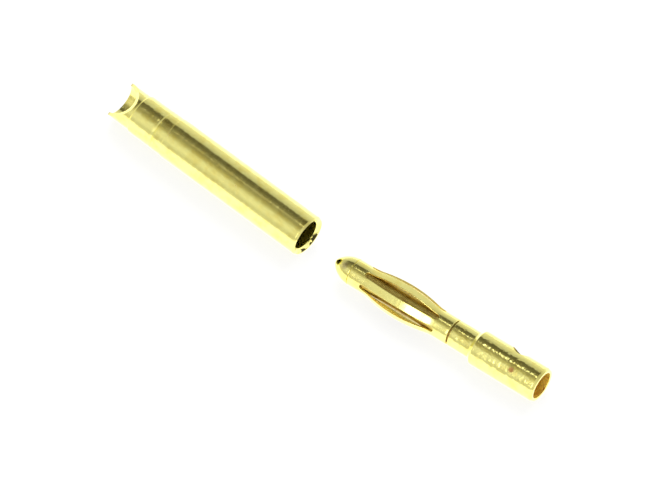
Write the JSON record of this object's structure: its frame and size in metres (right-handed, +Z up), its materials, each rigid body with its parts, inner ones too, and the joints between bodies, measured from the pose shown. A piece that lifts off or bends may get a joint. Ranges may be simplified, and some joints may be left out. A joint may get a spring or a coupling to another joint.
{
  "type": "bullet connector for a battery lead",
  "caption": "Gold-plated bullet connector: a tubular socket with a scooped solder cup, and a plug with a leaf lantern spring and a solder cup, lying unmated.",
  "frame": {"origin": "centre of the socket's mouth, on the axis of its contact bore", "axes": "+X points out of the socket's mouth, along its axis, towards the plug; +Z is up from the surface that both halves lie on"},
  "size_m": [0.0364, 0.0042, 0.003],
  "materials": {
    "socket_gold": "turned, gold plated and bright, with fine turning marks",
    "pin_gold": "turned, gold plated and bright, slightly tarnished",
    "spring_gold": "rolled spring sheet, gold plated and bright"
  },
  "bodies": {
    "root": {"socket": "socket_gold", "plug_pin": "pin_gold", "lantern_spring": "spring_gold"}
  },
  "joints": []
}
